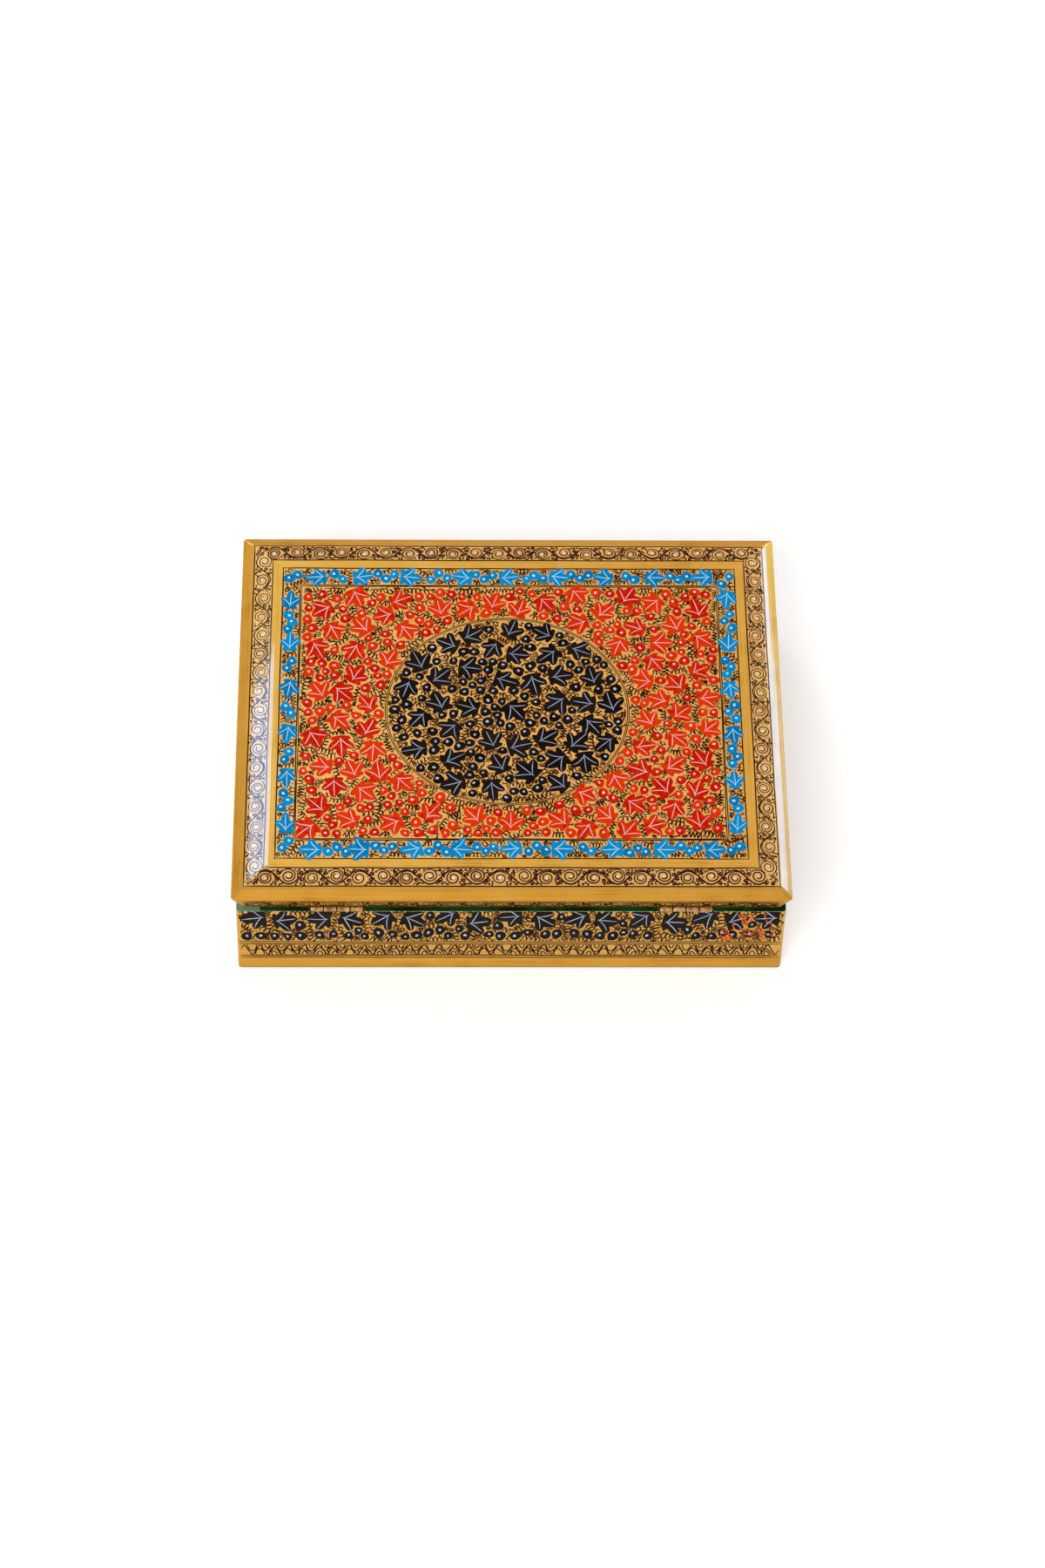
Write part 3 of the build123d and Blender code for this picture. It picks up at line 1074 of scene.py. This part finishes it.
def paint_arches(rng, surface, line, half, count, middle, swing):
    """One or two arches, one inside the other, in each bend of the wave."""
    pitch = 2 * half / count
    turn = np.linspace(-0.1, 1.1, 16) * math.pi
    for index in range(2 * count):
        hand = 1 if index % 2 == 0 else -1
        foot = np.array([-half + (index / 2 + 0.25) * pitch, middle - hand * swing])
        if abs(foot[0]) > half - 0.3 * pitch:
            continue
        for share in (0.66, 0.33) if rng.random() < 0.8 else (0.6,):
            size = share * rng.uniform(0.88, 1.1)
            reach = np.array([pitch / 2 * size, hand * 2 * swing * min(size, 0.72)])
            arch = foot + np.column_stack([np.cos(turn), np.maximum(np.sin(turn), 0)]) * reach
            arch[:, 0] += rng.uniform(-0.6, 0.2) * hand * (arch[:, 1] - foot[1])
            line.line(surface, arch, WAVE_WIDTH, rng.random())


def paint_wave_band(rng, side, surface, length):
    """A wave with arches nested in its bends, between two pairs of ruled lines."""
    line = wall_coat(side, "strokes", "line")
    half = length / 2 - 0.5
    for depth in WALL_RULES:
        level = -depth / WALL_STRETCH
        path = wavering(rng, (-half - 0.3, level), (half + 0.3, level), 0.05)
        line.line(surface, path, rng.uniform(0.34, 0.46), rng.random())
    middle = -sum(WAVE_BAND) / 2 / WALL_STRETCH
    swing = (WAVE_BAND[1] - WAVE_BAND[0]) / 2 / WALL_STRETCH - 0.15
    count = int(length / WAVE_PITCH)
    pitch = 2 * half / count
    t = np.linspace(-half, half, count * 12)
    drift = sum(0.12 * np.sin(t * k + any_turn(rng)) for k in (0.21, 0.53, 1.1))
    wave = np.arcsin(0.96 * np.sin((t + half + drift) / pitch * 2 * math.pi)) / 1.29
    line.line(surface, np.column_stack([t, middle + swing * wave]), WAVE_WIDTH, 0.3)
    paint_arches(rng, surface, line, half, count, middle, swing)


def paint_base_walls(rng):
    for side in range(4):
        surface = base_wall(side)
        length = length_of(side, RIM_HALF)
        paint_leaf_band(rng, side, surface, length)
        paint_wave_band(rng, side, surface, length)


def paint_orange_touches(rng):
    """A few orange strokes over the back wall's right end, seen from behind."""
    surface = base_wall(BACK)
    orange = coat("paint_orange_touches", "orange", "base")
    along, depth = ORANGE_PLACES
    for _ in range(ORANGE_TOUCHES):
        centre = np.array([rng.uniform(*along), -rng.uniform(*depth)])
        stroke = rng.choice((curl, hook))(rng) * rng.uniform(0.9, 1.4)
        path = turned(stroke, any_turn(rng), centre)
        orange.line(surface, path, 0.36, rng.random(), TOUCH_RISE)


# Camera, ground and lights, from here on in metres


def upright(axes, place):
    """The matrix of an object with those three axes at a place."""
    return Matrix.Translation(place) @ Matrix(axes).transposed().to_4x4()


def make_camera():
    data = bpy.data.cameras.new("camera")
    data.lens = CAMERA_LENS
    data.sensor_width = CAMERA_SENSOR
    data.clip_end = CAMERA_REACH
    pitch, yaw, roll = (math.radians(v) for v in (CAMERA_PITCH, CAMERA_YAW, CAMERA_ROLL))
    ahead = Vector((math.sin(yaw) * math.cos(pitch), math.cos(yaw) * math.cos(pitch), -math.sin(pitch)))
    level = Vector((math.cos(yaw), -math.sin(yaw), 0))
    above = level.cross(ahead)
    right = level * math.cos(roll) + above * math.sin(roll)
    up = above * math.cos(roll) - level * math.sin(roll)
    camera = placed("camera", data)
    camera.matrix_world = upright((right, up, -ahead), Vector(CAMERA_PLACE) * MM)
    bpy.context.scene.camera = camera


FLOOR_HALF = 15.0
FLOOR_DROP = 0.0002
FLOOR_WHITE = (0.88, 0.88, 0.88, 1)
FLOOR_EXTRA = 0.34           # brightness that is only seen, beside the box
FAR_EXTRA = 0.66             # the same far off, where the lamps don't reach
FAR_RANGE = (0.35, 1.6)


def floor_material():
    """White: the camera and reflections see some extra brightness over its own light."""
    s = Shader("floor_white")
    rays = s.node("LightPath").outputs
    mirrored = s.math("MAXIMUM", rays["Is Glossy Ray"], rays["Is Transmission Ray"])
    seen = s.math("MAXIMUM", rays["Is Camera Ray"], mirrored)
    distance = s.node("VectorMath", {0: s.place()}, operation="LENGTH").outputs["Value"]
    far = s.product(s.step(distance, *FAR_RANGE), FAR_EXTRA - FLOOR_EXTRA)
    extra = s.product(seen, s.math("ADD", FLOOR_EXTRA, far))
    lit = s.node("BsdfDiffuse", {"Color": FLOOR_WHITE}).outputs[0]
    bright = s.node("Emission", {"Color": (1, 1, 1, 1), "Strength": extra}).outputs[0]
    both = s.node("AddShader", {0: lit, 1: bright}).outputs[0]
    s.node("OutputMaterial", {"Surface": both})
    return s.owner


def make_floor():
    mesh = bpy.data.meshes.new("floor")
    signs = ((-1, -1), (1, -1), (1, 1), (-1, 1))
    corners = [(x * FLOOR_HALF, y * FLOOR_HALF, -FLOOR_DROP) for x, y in signs]
    mesh.from_pydata(corners, [], [(0, 1, 2, 3)])
    mesh.materials.append(floor_material())
    floor = placed("floor", mesh)


HORIZON_LIGHT = 1.0
CEILING_LIGHT = 0.42
CEILING_RANGE = (0.0, 0.14)  # height of a direction where the light walls give way to the ceiling


def make_world():
    """A room with light walls and a darker ceiling, which the lacquered top reflects."""
    s = Shader("world", bpy.data.worlds)
    axes = s.node("SeparateXYZ", {0: s.node("TexCoord").outputs["Generated"]})
    low, high = CEILING_RANGE
    inputs = {0: axes.outputs[2], 1: low, 2: high, 3: HORIZON_LIGHT, 4: CEILING_LIGHT}
    fade = s.node("MapRange", inputs, interpolation_type="SMOOTHSTEP").outputs[0]
    light = s.node("Background", {"Color": (1, 1, 1, 1), "Strength": fade}).outputs[0]
    s.node("OutputWorld", {0: light})
    bpy.context.scene.world = s.owner


# Each lamp: direction from the box, distance, turn in its own plane in degrees, its edges there
# across and upward, colour and radiance. The softboxes show in reflections only.
SOFTBOX = "softbox"
LAMPS = {
    "left_softbox": ((-0.24, 0.55, 0.80), 1.2, 19.5, (-0.14, 0.14), (0.0086, 0.2), (0.2, 0.44, 0.8), 31.0),
    "right_softbox": ((0.46, 0.54, 0.70), 1.2, 17.2, (-0.05, 0.29), (-0.343, -0.09), (0.2, 0.46, 1.0), 31.0),
    "key": ((-0.2, -0.62, 0.76), 1.8, 0.0, (-0.5, 0.5), (-0.35, 0.35), (1.0, 0.99, 0.97), 8.2),
    "back_left": ((-0.45, 0.8, 0.4), 1.8, 0.0, (-0.3, 0.3), (-0.2, 0.2), (1.0, 0.98, 0.95), 9.0),
    "back_right": ((0.45, 0.8, 0.4), 1.8, 0.0, (-0.3, 0.3), (-0.2, 0.2), (1.0, 0.98, 0.95), 9.0),
}


def make_lamp(name, direction, distance, turn, across, upward, colour, radiance):
    """A rectangular lamp facing the box."""
    away = Vector(direction).normalized()
    right = away.cross((0, 0, 1)).normalized()
    up = right.cross(away)
    c, s = math.cos(math.radians(turn)), math.sin(math.radians(turn))
    first, second = right * c + up * s, up * c - right * s
    data = bpy.data.lights.new(name, "AREA")
    data.shape = "RECTANGLE"
    data.size, data.size_y = across[1] - across[0], upward[1] - upward[0]
    data.color = colour
    data.energy = radiance * math.pi * data.size * data.size_y
    place = away * distance + first * sum(across) / 2 + second * sum(upward) / 2
    lamp = placed(name, data)
    lamp.matrix_world = upright((first, second, away), place)
    lamp.visible_diffuse = SOFTBOX not in name


def main():
    paint_the_solids()
    painters = (
        paint_field,
        paint_medallion,
        paint_border,
        paint_scroll_bands,
        paint_lid_sides,
        paint_base_walls,
        paint_orange_touches,
    )
    for index, paint in enumerate(painters):
        paint(Random(SEED + index))
    for made in coats.values():
        made.finish()
    make_camera()
    make_floor()
    make_world()
    for name, settings in LAMPS.items():
        make_lamp(name, *settings)
    bpy.context.scene.view_settings.view_transform = "Standard"


main()
